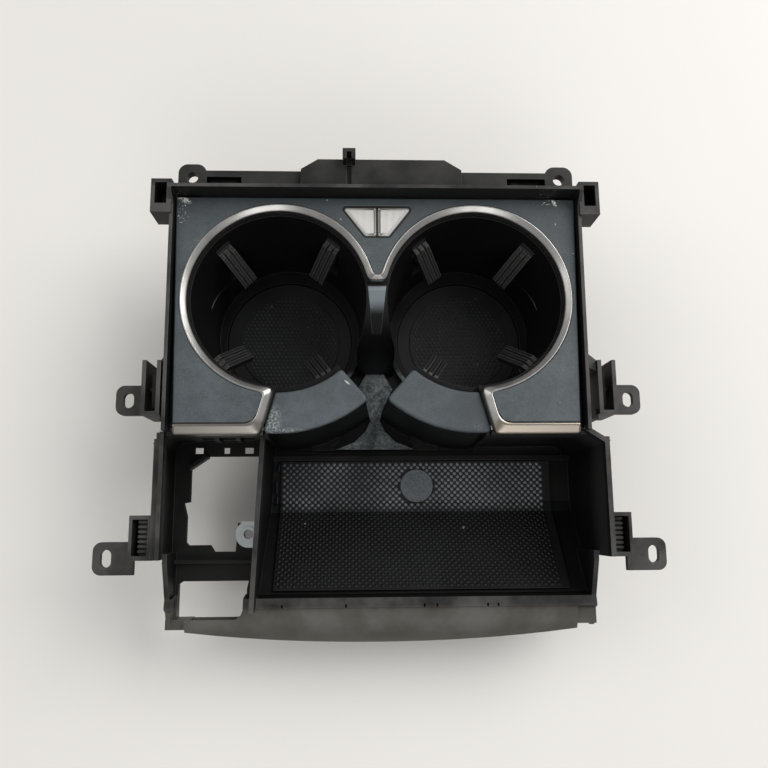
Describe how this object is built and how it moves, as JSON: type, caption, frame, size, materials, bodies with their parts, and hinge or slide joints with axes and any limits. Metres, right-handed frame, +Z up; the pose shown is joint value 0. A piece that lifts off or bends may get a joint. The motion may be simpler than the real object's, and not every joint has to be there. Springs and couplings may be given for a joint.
{
  "type": "car cup holder",
  "caption": "Car centre-console cup holder with sprung grip fingers, satin chrome rings, a ramped storage tray, an open switch bay and slotted fixing tabs.",
  "frame": {"origin": "centre of the outer box on the plane the part stands on", "axes": "+X across the part to the right as seen from the tray side, +Y towards the rear flange, +Z up out of the cups"},
  "size_m": [0.2636, 0.2276, 0.0885],
  "materials": {
    "frame_plastic": "black grained moulding with worn lighter edges",
    "housing_plastic": "black satin moulding",
    "soft_touch": "dark slate soft-touch coat, scuffed at the corners",
    "satin_chrome": "satin chrome plating",
    "mat_rubber": "black textured rubber",
    "finger_plastic": "black matt moulding",
    "key_silver": "satin silver coat with fine ribs",
    "bezel_black": "black moulding",
    "board_green": "bare circuit board",
    "dome_rubber": "grey silicone",
    "spring_steel": "bright spring steel",
    "zinc_steel": "zinc-plated sheet steel"
  },
  "bodies": {
    "carrier": {"carrier_frame": "frame_plastic", "cup_housing": "housing_plastic", "cover_panel": "soft_touch", "chrome_trim": "satin_chrome", "pillar_inlay": "soft_touch", "tray_mat": "mat_rubber", "button_bezel": "bezel_black", "switch_board": "board_green", "switch_case": "housing_plastic", "panel_screws": "zinc_steel", "tray_screws": "zinc_steel", "nut_clip": "zinc_steel", "finger_pins": "spring_steel", "left_arm_cap": "soft_touch", "left_cup_mat": "mat_rubber", "left_key_dome": "dome_rubber", "left_finger_spring_1": "spring_steel", "left_finger_spring_2": "spring_steel", "left_finger_spring_3": "spring_steel", "left_finger_spring_4": "spring_steel", "right_arm_cap": "soft_touch", "right_cup_mat": "mat_rubber", "right_key_dome": "dome_rubber", "right_finger_spring_1": "spring_steel", "right_finger_spring_2": "spring_steel", "right_finger_spring_3": "spring_steel", "right_finger_spring_4": "spring_steel"},
    "left_finger_1_body": {"left_finger_1": "finger_plastic"},
    "left_finger_2_body": {"left_finger_2": "finger_plastic"},
    "left_finger_3_body": {"left_finger_3": "finger_plastic"},
    "left_finger_4_body": {"left_finger_4": "finger_plastic"},
    "left_button_body": {"left_button": "key_silver"},
    "right_finger_1_body": {"right_finger_1": "finger_plastic"},
    "right_finger_2_body": {"right_finger_2": "finger_plastic"},
    "right_finger_3_body": {"right_finger_3": "finger_plastic"},
    "right_finger_4_body": {"right_finger_4": "finger_plastic"},
    "right_button_body": {"right_button": "key_silver"}
  },
  "joints": [
    {"name": "left_finger_1_hinge", "type": "hinge", "parent": "carrier", "child": "left_finger_1_body", "pos_m": [-0.07909, 0.07764, 0.058], "axis": [0.7193, 0.6947, 0], "range_deg": [0, 33], "stiffness_Nm_per_rad": 0.02, "springref_deg": -22.92, "deforming": ["left_finger_spring_1"]},
    {"name": "left_finger_2_hinge", "type": "hinge", "parent": "carrier", "child": "left_finger_2_body", "pos_m": [-0.02188, 0.08089, 0.058], "axis": [0.7934, -0.6088, 0], "range_deg": [0, 33], "stiffness_Nm_per_rad": 0.02, "springref_deg": -22.92, "deforming": ["left_finger_spring_2"]},
    {"name": "left_finger_3_hinge", "type": "hinge", "parent": "carrier", "child": "left_finger_3_body", "pos_m": [-0.08017, 0.01558, 0.058], "axis": [-0.6947, 0.7193, 0], "range_deg": [0, 33], "stiffness_Nm_per_rad": 0.02, "springref_deg": -22.92, "deforming": ["left_finger_spring_3"]},
    {"name": "left_finger_4_hinge", "type": "hinge", "parent": "carrier", "child": "left_finger_4_body", "pos_m": [-0.02534, 0.00885, 0.058], "axis": [-0.848, -0.5299, 0], "range_deg": [0, 33], "stiffness_Nm_per_rad": 0.02, "springref_deg": -22.92, "deforming": ["left_finger_spring_4"]},
    {"name": "left_button_press", "type": "slide", "parent": "carrier", "child": "left_button_body", "axis": [0, 0, -1], "range_m": [0, 0.0012], "stiffness_N_per_m": 600, "springref_m": -0.0006, "deforming": ["left_key_dome"]},
    {"name": "right_finger_1_hinge", "type": "hinge", "parent": "carrier", "child": "right_finger_1_body", "pos_m": [0.07469, 0.07764, 0.058], "axis": [0.7193, -0.6947, 0], "range_deg": [0, 33], "stiffness_Nm_per_rad": 0.02, "springref_deg": -22.92, "deforming": ["right_finger_spring_1"]},
    {"name": "right_finger_2_hinge", "type": "hinge", "parent": "carrier", "child": "right_finger_2_body", "pos_m": [0.01748, 0.08089, 0.058], "axis": [0.7934, 0.6088, 0], "range_deg": [0, 33], "stiffness_Nm_per_rad": 0.02, "springref_deg": -22.92, "deforming": ["right_finger_spring_2"]},
    {"name": "right_finger_3_hinge", "type": "hinge", "parent": "carrier", "child": "right_finger_3_body", "pos_m": [0.07577, 0.01558, 0.058], "axis": [-0.6947, -0.7193, 0], "range_deg": [0, 33], "stiffness_Nm_per_rad": 0.02, "springref_deg": -22.92, "deforming": ["right_finger_spring_3"]},
    {"name": "right_finger_4_hinge", "type": "hinge", "parent": "carrier", "child": "right_finger_4_body", "pos_m": [0.02094, 0.00885, 0.058], "axis": [-0.848, 0.5299, 0], "range_deg": [0, 33], "stiffness_Nm_per_rad": 0.02, "springref_deg": -22.92, "deforming": ["right_finger_spring_4"]},
    {"name": "right_button_press", "type": "slide", "parent": "carrier", "child": "right_button_body", "axis": [0, 0, -1], "range_m": [0, 0.0012], "stiffness_N_per_m": 600, "springref_m": -0.0006, "deforming": ["right_key_dome"]}
  ]
}
